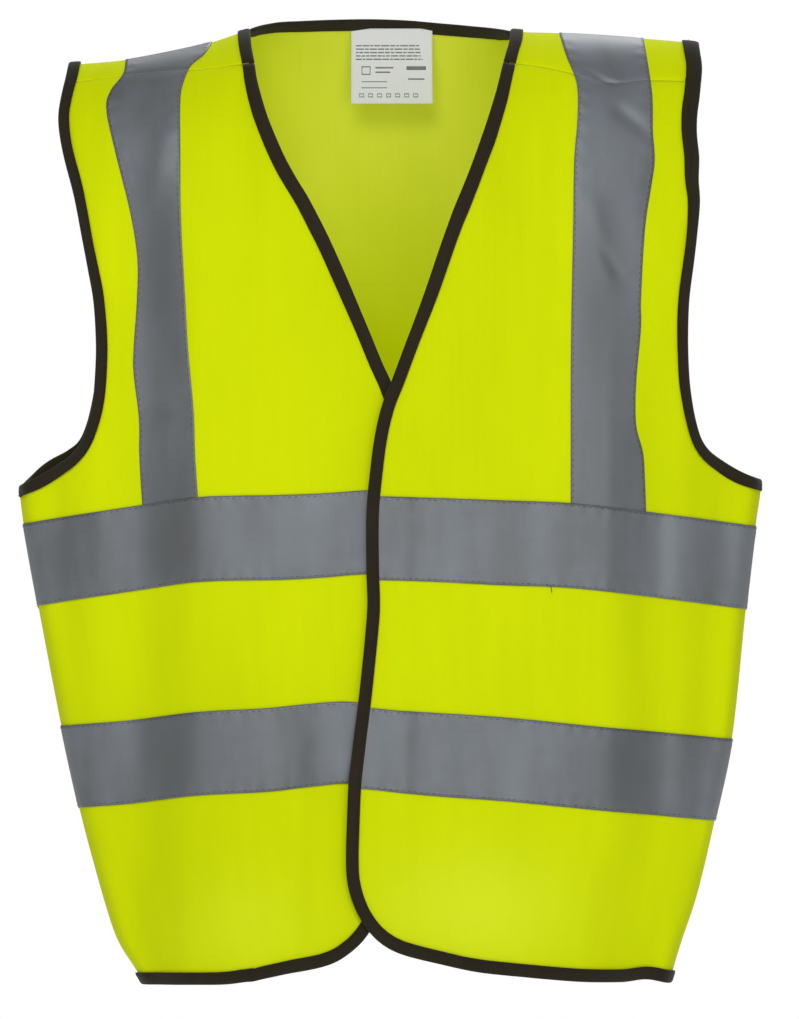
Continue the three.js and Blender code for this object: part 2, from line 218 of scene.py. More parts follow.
def front_folds(x, z):
    """How far the front stands out from the plain body shape, mm."""
    low = smooth(-60, -170, z)
    c = -134 + 0.02 * (z + 280)
    out = -11 * low * (1 - smooth(c - 20, c + 20, x))
    out = out + 5.0 * low * bell(x + 182, 17)
    c = 151 - 17 * smooth(-470, -545, z)
    out = out - 12.5 * smooth(-120, -270, z) * smooth(c - 20, c + 18, x)
    out = out + 4.5 * smooth(-150, -270, z) * bell(x - 178, 14)
    out = out - 3.2 * smooth(-400, -470, z) * bell(x + 56 - 0.03 * (z + 430), 9)
    out = out + 1.6 * smooth(-400, -470, z) * bell(x + 36, 12)
    out = out + 2.0 * smooth(-300, -450, z) * bell(x + 92, 30)
    out = out + 2.4 * smooth(-250, -420, z) * bell(x - 96, 26)
    out = out - 1.6 * smooth(-230, -330, z) * bell(x - 40 - 0.05 * (z + 300), 12)
    out = out + 1.4 * smooth(-60, -200, z) * bell(x - 70, 28)
    out = out - 1.8 * smooth(-20, -70, z) * smooth(-260, -180, z) * bell(x + 96 + 0.05 * z, 10)
    for start, end, width, height in CREASES:
        out = out + height * crease(x, z, start, end, width)
    out = out - 0.7 * bell(z - along(SEAM, x), 1.7)
    return out + 0.5 * streaks(x, z)


def back_folds(x, z):
    low = smooth(-120, -360, z)
    out = 3.2 * low * np.sin(x / 27 + 0.4) * (0.6 + 0.4 * np.sin(x / 61))
    out = out + 2.0 * bell(x - 0.02 * z, 30) * smooth(-30, -120, z)
    return out + 1.1 * streaks(-x + 40, z + 30)


def surface(across, v, raised=False):
    """Points of the cloth. v < 0 is the front and v > 0 the back, counted from the shoulder ridge."""
    across, v = np.broadcast_arrays(np.asarray(across, float), np.asarray(v, float))
    over = np.abs(across) > REACH
    across = np.where(over, np.sign(across) * 2 * REACH - across, across)
    v = np.where(over, -v, v)
    side = np.where(v < 0, -1.0, 1.0)
    down = np.abs(v)
    share = share_of(across)
    corner = np.interp(np.abs(across), _arc, _corner)
    bend = np.pi / 2 * (1 - np.minimum(down, QUARTER) / QUARTER)
    z = np.full(down.shape, -200.0)
    for _ in range(3):
        mid, half = middle_and_half(z)
        x = mid + half * share
        z = along(SHOULDER, x) - ROUND * (1 - np.sin(bend)) - np.maximum(down - QUARTER, 0)
    mid, half = middle_and_half(z)
    x = mid + half * share
    thick = along(DEPTH, z) * corner * np.cos(bend)
    fade = smooth(0.30, 0.62, corner) * smooth(0.25, 0.7, np.cos(bend))
    fold = np.where(side < 0, front_folds(x, z), back_folds(x, z)) * fade
    # the flap on top stands over the edge of the one below, then settles past it
    step = 1 - 0.36 * smooth(6, 19, x) * smooth(-215, -260, z)
    lift = LIFT * smooth(95, 40, x) * smooth(-40, -110, z) * step * (side < 0) if raised else 0.0
    return np.stack([x, side * (thick + fold) - lift, z], -1)


def chart(x, z, side):
    """(across, v) of the point seen at x and z on the front (side -1) or the back (1)."""
    x, z = np.asarray(x, float), np.asarray(z, float)
    mid, half = middle_and_half(z)
    across = across_of(np.clip((x - mid) / half, -1, 1))
    drop = np.maximum(along(SHOULDER, x) - z, 0)
    bend = np.arcsin(np.clip(1 - drop / ROUND, 0, 1))
    down = np.where(drop < ROUND, QUARTER * (1 - bend / (np.pi / 2)), QUARTER + drop - ROUND)
    return across, side * np.maximum(down, 1e-6)


def frames(across, v, raised=False):
    """Points, outward normals and the surface directions along across and v."""
    p = surface(across, v, raised)
    e = 0.8
    da = (surface(across + e, v, raised) - surface(across - e, v, raised)) / (2 * e)
    dv = (surface(across, v + e, raised) - surface(across, v - e, raised)) / (2 * e)
    normal = np.cross(da, dv)
    normal /= np.maximum(np.linalg.norm(normal, axis=-1, keepdims=True), 1e-9)
    return p, normal, da, dv


def spline(points, step=1.5):
    """Smooth line through points in 2-D or 3-D, evenly spaced."""
    p = np.array(points, float)
    ends = np.vstack([2 * p[0] - p[1], p, 2 * p[-1] - p[-2]])
    fine = []
    for i in range(1, len(ends) - 2):
        a, b, c, d = ends[i - 1], ends[i], ends[i + 1], ends[i + 2]
        t = np.linspace(0, 1, 24, endpoint=False)[:, None]
        fine.append(0.5 * (2 * b + (c - a) * t + (2 * a - 5 * b + 4 * c - d) * t ** 2
                           + (3 * b - a - 3 * c + d) * t ** 3))
    fine = np.vstack([*fine, p[-1:]])
    return even(fine, step)


def even(line, step):
    length = np.concatenate([[0], np.cumsum(np.linalg.norm(np.diff(line, axis=0), axis=1))])
    n = max(int(round(length[-1] / step)), 2)
    at = np.linspace(0, length[-1], n + 1)
    return np.stack([np.interp(at, length, line[:, k]) for k in range(line.shape[1])], 1)


def inside(poly, x, z):
    """Signed distance of points to a closed outline: positive inside."""
    px, pz = poly[:, 0], poly[:, 1]
    qx, qz = np.roll(px, -1), np.roll(pz, -1)
    x, z = x.ravel(), z.ravel()
    crossings = np.zeros(x.size, bool)
    nearest = np.full(x.size, 1e9)
    for a, b, c, d in zip(px, pz, qx, qz):
        if b != d:
            hit = ((b > z) != (d > z)) & (x < (c - a) * (z - b) / (d - b) + a)
            crossings ^= hit
        ex, ez = c - a, d - b
        size = max(ex * ex + ez * ez, 1e-9)
        t = np.clip(((x - a) * ex + (z - b) * ez) / size, 0, 1)
        nearest = np.minimum(nearest, np.hypot(x - a - t * ex, z - b - t * ez))
    return np.where(crossings, nearest, -nearest)


# == Meshes
def new_object(name, verts, faces, uvs=None, material=None, slots=None):
    """A smooth mesh object from points in mm."""
    mesh = bpy.data.meshes.new(name)
    mesh.from_pydata((np.asarray(verts, float) / 1000).tolist(), [], faces)
    if uvs is not None:
        layer = mesh.uv_layers.new(name="cloth")
        loops = np.zeros(len(mesh.loops), np.int32)
        mesh.loops.foreach_get("vertex_index", loops)
        layer.data.foreach_set("uv", (np.asarray(uvs, float)[loops] / 1000).ravel())
    for m in ([material] if not isinstance(material, (list, tuple)) else material):
        mesh.materials.append(m)
    if slots is not None:
        mesh.polygons.foreach_set("material_index", np.asarray(slots, np.int32))
    mesh.polygons.foreach_set("use_smooth", np.ones(len(mesh.polygons), bool))
    mesh.update()
    made = bpy.data.objects.new(name, mesh)
    bpy.context.scene.collection.objects.link(made)
    return made


def slab_faces(rows, cols, turned):
    """Faces of two grids of points, one under the other, with walls round their rims."""
    index = np.arange(rows * cols).reshape(rows, cols)
    quads = np.stack([index[:-1, :-1], index[:-1, 1:], index[1:, 1:], index[1:, :-1]], -1).reshape(-1, 4)
    ring = np.concatenate([index[0], index[1:, -1], index[-1, -2::-1], index[-2:0:-1, 0]])
    if turned:
        quads, ring = quads[:, ::-1], ring[::-1]
    after, lower = np.roll(ring, -1), rows * cols
    walls = np.stack([after, ring, ring + lower, after + lower], 1)
    return np.vstack([quads, quads[:, ::-1] + lower, walls]).tolist()


def cloth_sheet(name, across, v, keep, material, raised=False, thick=0.5):
    """A grid of cloth with the cells where `keep` holds, given two faces and closed rims."""
    rows, cols = across.shape
    p, n, _, _ = frames(across, v, raised)
    index = np.arange(rows * cols).reshape(rows, cols)
    cell = keep[:-1, :-1] & keep[1:, :-1] & keep[:-1, 1:] & keep[1:, 1:]
    # lone cells go, so that the rim stays one clean line
    near = np.zeros_like(cell, int)
    near[1:] += cell[:-1]
    near[:-1] += cell[1:]
    near[:, 1:] += cell[:, :-1]
    near[:, :-1] += cell[:, 1:]
    cell &= near >= 2
    corners = index[:-1, :-1], index[:-1, 1:], index[1:, 1:], index[1:, :-1]
    quads = np.stack([corner[cell] for corner in corners], 1)
    used, quads = np.unique(quads, return_inverse=True)
    quads = quads.reshape(-1, 4)
    p, n = p.reshape(-1, 3)[used], n.reshape(-1, 3)[used]
    uv = np.stack([across.ravel()[used], v.ravel()[used]], 1)
    test = np.cross(p[quads[0, 1]] - p[quads[0, 0]], p[quads[0, 3]] - p[quads[0, 0]]) @ n[quads[0, 0]]
    if test < 0:
        quads = quads[:, ::-1]
    m = len(p)
    edges = np.vstack([quads[:, [i, (i + 1) % 4]] for i in range(4)])
    key = np.minimum(edges[:, 0], edges[:, 1]) * m + np.maximum(edges[:, 0], edges[:, 1])
    _, first, count = np.unique(key, return_index=True, return_counts=True)
    rim = edges[first[count == 1]]
    walls = np.stack([rim[:, 1], rim[:, 0], rim[:, 0] + m, rim[:, 1] + m], 1)
    faces = np.vstack([quads, quads[:, ::-1] + m, walls])
    slots = np.concatenate([np.zeros(len(quads), int), np.ones(len(quads), int), np.zeros(len(walls), int)])
    verts = np.vstack([p, p - thick * n])
    return new_object(name, verts, faces.tolist(), np.vstack([uv, uv]), material, slots)


def ribbon(name, across, v, low, high, raised, edge_drop, pucker):
    """A closed flat tape on the cloth: rows run along it, columns across, between two heights."""
    rows, cols = across.shape
    p, n, _, _ = frames(across, v, raised)
    run = np.concatenate([[0], np.cumsum(np.linalg.norm(np.diff(p[:, cols // 2], axis=0), axis=1))])[:, None]
    at = np.concatenate([np.zeros((rows, 1)), np.cumsum(np.linalg.norm(np.diff(p, axis=1), axis=2), 1)], 1)
    rim = np.minimum(at, at[:, -1:] - at)
    down = edge_drop * np.exp(-((rim - 2.0) / 1.3) ** 2)
    down = down + 0.45 * smooth(REACH - 14, REACH - 1, np.abs(across))
    ripple = pucker * np.sin(run / 1.9 + 3 * np.sin(run / 23)) * np.exp(-((rim - 3.5) / 3.0) ** 2)
    layers = [(p + n * (height - down + ripple)[..., None]).reshape(-1, 3) for height in (high, low)]
    turned = np.cross(p[0, 1] - p[0, 0], p[1, 0] - p[0, 0]) @ n[0, 0] < 0
    uv = np.stack([np.broadcast_to(run, (rows, cols)).ravel(), at.ravel()], 1)
    return new_object(name, np.vstack(layers), slab_faces(rows, cols, turned), np.vstack([uv, uv]), tape)


# Section of the folded binding: (distance in from the free edge, height over the cloth)
SECTION = [(7.6, 1.25), (7.3, 1.55), (6.2, 1.75), (4.0, 1.78), (1.8, 1.7), (0.7, 1.35), (0.08, 0.7),
           (0.0, 0.0), (0.08, -0.7), (0.7, -1.15), (1.8, -1.35), (4.0, -1.4), (6.2, -1.38),
           (7.3, -1.2), (7.6, -0.95), (7.3, -0.72), (1.6, -0.68), (1.15, 0.05), (1.6, 1.08), (7.3, 1.05)]


def edge_frames(line, inward_side, raised):
    """Points, normals and inward directions along an edge given as rows of (across, v)."""
    across, v = line[:, 0], line[:, 1]
    p, n, da, dv = frames(across, v, raised)
    ahead, behind = np.roll(p, -1, 0), np.roll(p, 1, 0)
    tangent = ahead - behind
    if np.linalg.norm(p[0] - p[-1]) > 4:
        tangent[0], tangent[-1] = p[1] - p[0], p[-1] - p[-2]
    tangent /= np.maximum(np.linalg.norm(tangent, axis=1, keepdims=True), 1e-9)
    inward = np.cross(n, tangent) * inward_side
    inward /= np.maximum(np.linalg.norm(inward, axis=1, keepdims=True), 1e-9)
    return p, n, inward, da, dv


def shift_in_chart(line, da, dv, step3):
    """Chart coordinates moved by a 3-D step that lies in the surface."""
    a11, a12, a22 = (da * da).sum(-1), (da * dv).sum(-1), (dv * dv).sum(-1)
    b1, b2 = (da * step3).sum(-1), (dv * step3).sum(-1)
    det = np.maximum(a11 * a22 - a12 ** 2, 1e-9)
    return (line[:, 0] + (a22 * b1 - a12 * b2) / det, line[:, 1] + (a11 * b2 - a12 * b1) / det)


EDGE_STEP = 2.4
OUTER_POINTS = (5, 6, 7, 8, 9)


def even_chart(line, raised, step=EDGE_STEP):
    """Spaces a chart line evenly in 3-D, filling in where it jumps."""
    gap = np.maximum(np.ceil(np.linalg.norm(np.diff(line, axis=0), axis=1)).astype(int), 1)
    parts = [a + (b - a) * np.arange(k)[:, None] / k for a, b, k in zip(line[:-1], line[1:], gap)]
    line = np.vstack([*parts, line[-1:]])
    p = surface(line[:, 0], line[:, 1], raised)
    length = np.concatenate([[0], np.cumsum(np.linalg.norm(np.diff(p, axis=0), axis=1))])
    at = np.linspace(0, length[-1], max(int(round(length[-1] / step)), 2) + 1)
    return np.stack([np.interp(at, length, line[:, k]) for k in (0, 1)], 1)


def binding(name, line, raised, inward_side, closed=False, ruffle=0.25, seed=1, wide=1.0):
    """The folded strip round a free edge, and the edge line that it follows."""
    if closed:
        line = line[:-1]
    p, n, inward, da, dv = edge_frames(line, inward_side, raised)
    count, ring = len(line), len(SECTION)
    draw = np.random.default_rng(seed)
    run = np.arange(count) * EDGE_STEP
    wave = ruffle * sum(np.sin(run / k + draw.uniform(0, 6.28)) for k in (5.3, 9.1, 17.0))[:, None] / 2
    verts = np.zeros((count, ring, 3))
    stretch = wide(p) if callable(wide) else np.full(count, wide)
    for k, (depth, height) in enumerate(SECTION):
        depth = (depth * stretch)[:, None]
        flat = p + inward * depth
        on = surface(*shift_in_chart(line, da, dv, inward * depth), raised)
        # where the chart folds over, the flat step is kept
        bad = np.linalg.norm(on - flat, axis=1) > 0.5 * depth[:, 0] + 0.6
        on[bad] = flat[bad]
        lifted = height + 0.5 * wave * (1 if height > 0 else 0.8)
        verts[:, k] = on + n * lifted + inward * wave * (0.25 if k in OUTER_POINTS else 0.05)
    index = np.arange(count * ring).reshape(count, ring)
    here, ahead = (index, np.roll(index, -1, axis=0)) if closed else (index[:-1], index[1:])
    quads = np.stack([here, np.roll(here, -1, 1), np.roll(ahead, -1, 1), ahead], -1).reshape(-1, 4)
    faces = quads.tolist()
    if not closed:
        faces += [index[0].tolist()[::-1], index[-1].tolist()]
    verts = verts.reshape(-1, 3)
    a, b, c = verts[quads[3, [0, 1, 3]]]
    if np.cross(b - a, c - a) @ (a - verts[:ring].mean(0)) < 0:
        faces = [face[::-1] for face in faces]
    girth = np.concatenate([[0], np.cumsum(np.linalg.norm(np.diff(SECTION, axis=0), axis=1))])
    uv = np.stack(np.broadcast_arrays(run[:, None], girth), -1).reshape(-1, 2)
    return new_object(name, verts, faces, uv, black), line


def stitches(name, rows, material, length=2.5, gap=1.3, thick=0.19):
    """Rows of short threads lying on the cloth. Each row is (points, normals)."""
    ring, cuts = 5, 4
    turn = np.linspace(0, 2 * np.pi, ring, endpoint=False)
    verts, faces, uvs, base = [], [], [], 0
    for points, normals in rows:
        run = np.concatenate([[0], np.cumsum(np.linalg.norm(np.diff(points, axis=0), axis=1))])
        starts = np.arange(0.6, run[-1] - length - 0.4, length + gap)
        if not len(starts):
            continue
        share = np.linspace(0, 1, cuts)
        at = starts[:, None] + share * length
        p = np.stack([np.interp(at, run, points[:, k]) for k in range(3)], -1)
        n = np.stack([np.interp(at, run, normals[:, k]) for k in range(3)], -1)
        n /= np.linalg.norm(n, axis=-1, keepdims=True)
        t = np.gradient(p, axis=1)
        t /= np.maximum(np.linalg.norm(t, axis=-1, keepdims=True), 1e-9)
        b = np.cross(t, n)
        size = thick * np.array([0.55, 1.0, 1.0, 0.55])
        up = thick * np.array([-0.7, 0.75, 0.75, -0.7])
        c = p + n * up[None, :, None]
        v = (c[:, :, None] + b[:, :, None] * (np.cos(turn) * size[:, None])[None, ..., None]
             + n[:, :, None] * (np.sin(turn) * size[:, None])[None, ..., None])
        m = len(starts)
        index = base + np.arange(m * cuts * ring).reshape(m, cuts, ring)
        beside = np.roll(index, -1, 2)
        quads = np.stack([index[:, :-1], beside[:, :-1], beside[:, 1:], index[:, 1:]], -1)
        faces += quads.reshape(-1, 4).tolist()
        faces += index[:, 0].tolist() + index[:, -1, ::-1].tolist()
        verts.append(v.reshape(-1, 3))
        uvs.append(np.stack([at, at * 0], -1).repeat(ring, axis=1).reshape(-1, 2))
        base += m * cuts * ring
    return new_object(name, np.vstack(verts), faces, np.vstack(uvs), material)


# == Materials
def linear(*colour):
    """Linear colour of an everyday 0 to 255 one."""
    return (*(((c / 255 + 0.055) / 1.055) ** 2.4 if c > 10 else c / 255 / 12.92 for c in colour), 1.0)


class Nodes:
    """Small helper that wires a material's nodes."""

    def __init__(self, name):
        self.material = bpy.data.materials.new(name)
        self.material.use_nodes = True
        self.tree = self.material.node_tree
        self.shader = self.tree.nodes["Principled BSDF"]
        self.uv = self.add("ShaderNodeUVMap")
        self.uv.uv_map = "cloth"
        self.place = self.add("ShaderNodeTexCoord")

    def add(self, kind, **inputs):
        node = self.tree.nodes.new(kind)
        for key, value in inputs.items():
            node.inputs[key.replace("_", " ")].default_value = value
        return node

    def link(self, a, b):
        self.tree.links.new(a, b)

    def spot(self, x, z, wide, tall):
        """1 at a place on the vest, fading to 0 over `wide` and `tall` metres."""
        split = self.tree.nodes.new("ShaderNodeSeparateXYZ")
        self.link(self.place.outputs["Object"], split.inputs[0])
        parts = []
        for output, centre, size in ((0, x, wide), (2, z, tall)):
            away = self.math("DIVIDE", self.math("SUBTRACT", split.outputs[output], centre), size)
            parts.append(self.math("MULTIPLY", away, away))
        return self.math("EXPONENT", self.math("MULTIPLY", self.math("ADD", *parts), -1.0))

    def math(self, operation, a, b=None):
        node = self.tree.nodes.new("ShaderNodeMath")
        node.operation = operation
        for i, value in enumerate([a, b]):
            if value is None:
                continue
            if isinstance(value, (int, float)):
                node.inputs[i].default_value = value
            else:
                self.link(value, node.inputs[i])
        return node.outputs[0]

    def noise(self, coords, scale, detail=3.0, rough=0.55):
        node = self.add("ShaderNodeTexNoise", Scale=scale, Detail=detail, Roughness=rough)
        self.link(coords, node.inputs["Vector"])
        return node.outputs["Fac"]

    def wave(self, coords, scale, direction, distortion=0.0):
        node = self.add("ShaderNodeTexWave", Scale=scale, Distortion=distortion)
        node.bands_direction, node.wave_profile = direction, "SIN"
        self.link(coords, node.inputs["Vector"])
        return node.outputs["Fac"]

    def scaled(self, coords, x, y, z=1.0):
        node = self.tree.nodes.new("ShaderNodeMapping")
        node.inputs["Scale"].default_value = (x, y, z)
        self.link(coords, node.inputs["Vector"])
        return node.outputs[0]

    def ramp(self, value, stops):
        node = self.tree.nodes.new("ShaderNodeValToRGB")
        ramp = node.color_ramp
        while len(ramp.elements) < len(stops):
            ramp.elements.new(0.5)
        for element, (at, colour) in zip(ramp.elements, stops):
            element.position, element.color = at, colour
        self.link(value, node.inputs["Fac"])
        return node.outputs["Color"]

    def mix(self, factor, a, b):
        node = self.tree.nodes.new("ShaderNodeMix")
        node.data_type = "RGBA"
        for socket, value in ((node.inputs[0], factor), (node.inputs[6], a), (node.inputs[7], b)):
            if isinstance(value, (int, float, tuple)):
                socket.default_value = value
            else:
                self.link(value, socket)
        return node.outputs[2]

    def bump(self, height, distance, strength=1.0, below=None):
        node = self.add("ShaderNodeBump", Strength=strength, Distance=distance)
        self.link(height, node.inputs["Height"])
        if below is not None:
            self.link(below, node.inputs["Normal"])
        return node.outputs[0]

    def finish(self, colour, roughness, normal=None, **fixed):
        shader = self.shader
        self.link(colour, shader.inputs["Base Color"])
        self.link(roughness, shader.inputs["Roughness"])
        if normal is not None:
            self.link(normal, shader.inputs["Normal"])
        for key, value in fixed.items():
            shader.inputs[key.replace("_", " ")].default_value = value
        return self.material


def cloth_material(name, main, shade, painted_shade=None):
    m = Nodes(name)
    uv, place = m.uv.outputs[0], m.place.outputs["Object"]
    # warp knit: fine columns of loops crossed by short diagonal floats
    loops = m.wave(m.scaled(uv, 1, 0), 230.0, "X")
    floats = m.wave(m.scaled(uv, 1, 1.35), 190.0, "DIAGONAL")
    other = m.wave(m.scaled(uv, -1, 1.35), 190.0, "DIAGONAL")
    knit = m.math("MULTIPLY", loops, m.math("MAXIMUM", floats, other))
    fuzz = m.noise(place, 900.0, 2.0)
    patchy = m.noise(m.scaled(place, 1.0, 1.0, 0.4), 11.0, 3.0)
    streak = m.noise(m.scaled(uv, 1.0, 0.05), 120.0, 2.0)
    tone = m.math("ADD", m.math("MULTIPLY", patchy, 0.85), m.math("MULTIPLY", streak, 0.15))
    colour = m.ramp(tone, [(0.34, shade), (0.62, main)])
    if painted_shade is not None:
        # painted shade: the inside turns darker towards the bottom of the neckline and out towards its
        # sides, standing in for less light coming through there
        split = m.tree.nodes.new("ShaderNodeSeparateXYZ")
        m.link(place, split.inputs[0])
        low = m.add("ShaderNodeMapRange")
        m.link(split.outputs[2], low.inputs["Value"])
        low.inputs["From Min"].default_value, low.inputs["From Max"].default_value = -0.06, -0.19
        aside = m.add("ShaderNodeMapRange")
        m.link(m.math("ABSOLUTE", split.outputs[0]), aside.inputs["Value"])
        aside.inputs["From Min"].default_value, aside.inputs["From Max"].default_value = 0.03, 0.085
        far = m.math("MAXIMUM", low.outputs[0], m.math("MULTIPLY", aside.outputs[0], 0.7))
        colour = m.mix(far, colour, painted_shade)
    else:
        # painted light: the colour turns paler in two soft patches near the hem, where the cloth lies almost
        # flat
        faint_painted_light = m.math("MULTIPLY", m.spot(-0.085, -0.545, 0.04, 0.03), 0.5)
        flat = m.math("MAXIMUM", m.spot(0.052, -0.535, 0.055, 0.035), faint_painted_light)
        colour = m.mix(m.math("MULTIPLY", flat, 0.8), colour, (0.76, 0.885, 0.022, 1))
    colour = m.mix(m.math("MULTIPLY", m.math("SUBTRACT", 1.0, knit), 0.05), colour, shade)
    rough = m.math("ADD", m.math("MULTIPLY", fuzz, 0.16), 0.7)
    normal = m.bump(knit, 0.00012, 0.3)
    normal = m.bump(fuzz, 0.00008, 0.25, normal)
    # the cloth glows faintly in its own colour for the fluorescent dye; the inside glows four times as much,
    # painted light standing in for light coming through the cloth
    m.link(colour, m.shader.inputs["Emission Color"])
    return m.finish(colour, rough, normal, Sheen_Weight=0.06, Sheen_Roughness=0.5, Sheen_Tint=main,
                    Specular_IOR_Level=0.06, Emission_Strength=0.04 if painted_shade is None else 0.16)


def tape_material():
    m = Nodes("reflective_tape")
    uv, place = m.uv.outputs[0], m.place.outputs["Object"]
    beads = m.noise(place, 2600.0, 1.0)
    cloudy = m.noise(m.scaled(place, 1.5, 1, 0.35), 24.0, 4.0, 0.5)
    creases = m.noise(m.scaled(uv, 0.5, 1.0), 70.0, 4.0, 0.65)
    tone = m.math("ADD", m.math("MULTIPLY", cloudy, 0.8), m.math("MULTIPLY", creases, 0.2))
    colour = m.ramp(tone, [(0.36, (0.162, 0.173, 0.181, 1)), (0.5, (0.190, 0.206, 0.223, 1)),
                           (0.66, (0.216, 0.236, 0.258, 1))])
    colour = m.mix(m.math("MULTIPLY", beads, 0.10), colour, (0.33, 0.36, 0.39, 1))
    # painted shade: darker spots on the tapes where folds turn them away from the light
    painted_fold_shade = m.spot(0.128, -0.17, 0.020, 0.075)
    for place in ((-0.14, -0.135, 0.016, 0.075), (0.142, -0.448, 0.022, 0.05),
                  (-0.128, -0.445, 0.018, 0.05), (-0.13, -0.315, 0.020, 0.04)):
        painted_fold_shade = m.math("MAXIMUM", painted_fold_shade, m.spot(*place))
    colour = m.mix(m.math("MULTIPLY", painted_fold_shade, 0.75), colour, (0.135, 0.142, 0.146, 1))
    rough = m.math("ADD", m.math("MULTIPLY", cloudy, 0.12), 0.46)
    normal = m.bump(creases, 0.0006, 0.3)
    normal = m.bump(beads, 0.00003, 0.4, normal)
    return m.finish(colour, rough, normal, Metallic=0.5, Specular_IOR_Level=0.25)


def ribbed_material(name, dark, light, pitch=150.0, rough_low=0.62, sheen=0.35):
    m = Nodes(name)
    uv, place = m.uv.outputs[0], m.place.outputs["Object"]
    ribs = m.wave(m.scaled(uv, 1, 0), pitch, "X", 0.4)
    cross = m.wave(m.scaled(uv, 0, 1), pitch * 1.7, "Y")
    weave = m.math("MULTIPLY", ribs, m.math("ADD", m.math("MULTIPLY", cross, 0.4), 0.6))
    fuzz = m.noise(place, 700.0, 3.0)
    worn = m.noise(m.scaled(place, 1, 1, 0.5), 60.0, 4.0)
    colour = m.ramp(m.math("ADD", m.math("MULTIPLY", weave, 0.5), m.math("MULTIPLY", worn, 0.5)),
                    [(0.25, dark), (0.8, light)])
    rough = m.math("ADD", m.math("MULTIPLY", fuzz, 0.25), rough_low)
    normal = m.bump(weave, 0.00012, 0.4)
    normal = m.bump(fuzz, 0.00012, 0.3, normal)
    return m.finish(colour, rough, normal, Sheen_Weight=sheen, Sheen_Roughness=0.5, Specular_IOR_Level=0.15)


YELLOW = (0.69, 0.808, 0.0, 1)
YELLOW_SHADE = (0.618, 0.735, 0.0, 1)
# painted sheen: the inside colours are a paler, less saturated copy of the yellow, standing in for light
# bouncing off it
INSIDE_PAINTED_SHEEN = (0.68, 0.735, 0.050, 1)
INSIDE_PAINTED_SHEEN_DARK = (0.62, 0.68, 0.036, 1)
cloth_out = cloth_material("fluorescent_knit", YELLOW, YELLOW_SHADE)
# the inside material carries painted sheen, painted shade towards the neckline bottom and a painted glow
cloth_inside_painted_light = cloth_material("fluorescent_knit_inside_painted_light", INSIDE_PAINTED_SHEEN, INSIDE_PAINTED_SHEEN_DARK, (0.54, 0.62, 0.0, 1))
tape = tape_material()
black = ribbed_material("black_binding", linear(38, 33, 22), linear(52, 46, 33), 420.0, 0.8, 0.1)
thread_grey = ribbed_material("grey_thread", linear(52, 53, 58), linear(84, 86, 92), 900.0, 0.5, 0.1)
thread_black = ribbed_material("black_thread", linear(16, 14, 11), linear(40, 36, 30), 900.0, 0.5, 0.1)
satin = ribbed_material("label_satin", linear(228, 228, 233), linear(240, 240, 244), 420.0, 0.5, 0.1)
print_grey = ribbed_material("label_print", linear(120, 121, 126), linear(146, 147, 152), 420.0, 0.6, 0.0)
hook_black = ribbed_material("hook_black", linear(18, 18, 18), linear(34, 33, 32), 240.0, 0.4, 0.1)
loop_black = ribbed_material("loop_black", linear(20, 19, 18), linear(40, 38, 36), 200.0, 0.8, 0.15)

# == Camera, lights and floor
VIEW_WIDTH = 0.48739
DISTANCE = 10.0
SENSOR = 36.0
FRONT_OF_VEST = 0.035
camera_data = bpy.data.cameras.new("camera")
camera = bpy.data.objects.new("camera", camera_data)
bpy.context.scene.collection.objects.link(camera)
camera_data.sensor_fit = "HORIZONTAL"
camera_data.sensor_width = SENSOR
camera_data.lens = SENSOR * (DISTANCE - FRONT_OF_VEST) / VIEW_WIDTH
camera_data.clip_end = 60.0
camera.location = (0.005795, -DISTANCE, -0.290665)
camera.rotation_euler = (math.pi / 2, 0, 0)
bpy.context.scene.camera = camera
bpy.context.scene.view_settings.view_transform = "Standard"
bpy.context.scene.view_settings.look = "None"


def area_light(name, at, aim, size, power):
    data = bpy.data.lights.new(name, "AREA")
    data.shape, data.size, data.energy = "DISK", size, power
    light = bpy.data.objects.new(name, data)
    light.location = at
    light.rotation_euler = (Vector(aim) - Vector(at)).to_track_quat("-Z", "Y").to_euler()
    bpy.context.scene.collection.objects.link(light)


area_light("key", (-0.35, -2.7, 1.25), (0, 0, -0.25), 1.3, 30)
area_light("fill", (0.7, -2.9, -0.1), (0, 0, -0.3), 1.4, 11)
area_light("rear", (0.4, 1.9, 2.1), (0, 0, -0.2), 2.2, 52)

# The world lights the vest softly and looks white to the camera
world = bpy.data.worlds.new("studio")
bpy.context.scene.world = world
world.use_nodes = True
tree = world.node_tree
lighting, seen = tree.nodes["Background"], tree.nodes.new("ShaderNodeBackground")
for node, strength in ((lighting, 0.25), (seen, 1.0)):
    node.inputs["Color"].default_value = (1, 1, 1, 1)
    node.inputs["Strength"].default_value = strength
ray, chooser = tree.nodes.new("ShaderNodeLightPath"), tree.nodes.new("ShaderNodeMixShader")
for k, output in enumerate((ray.outputs["Is Camera Ray"], lighting.outputs[0], seen.outputs[0])):
    tree.links.new(output, chooser.inputs[k])
tree.links.new(chooser.outputs[0], tree.nodes["World Output"].inputs[0])


def pale_floor():
    """A pale floor that glows more the farther it is from the vest: painted light that fades it to white."""
    m = Nodes("pale_floor")
    place = m.place.outputs["Object"]
    noise = m.noise(place, 2.0)
    colour = m.ramp(noise, [(0.3, (0.86, 0.86, 0.86, 1)), (0.7, (0.9, 0.9, 0.9, 1))])
    far = m.add("ShaderNodeVectorMath")
    far.operation = "LENGTH"
    m.link(place, far.inputs[0])
    glow = m.math("MINIMUM", m.math("MULTIPLY", far.outputs["Value"], 0.11), 0.74)
    m.link(glow, m.shader.inputs["Emission Strength"])
    return m.finish(colour, m.math("ADD", noise, 0.4), Specular_IOR_Level=0.05, Emission_Color=(1, 1, 1, 1))


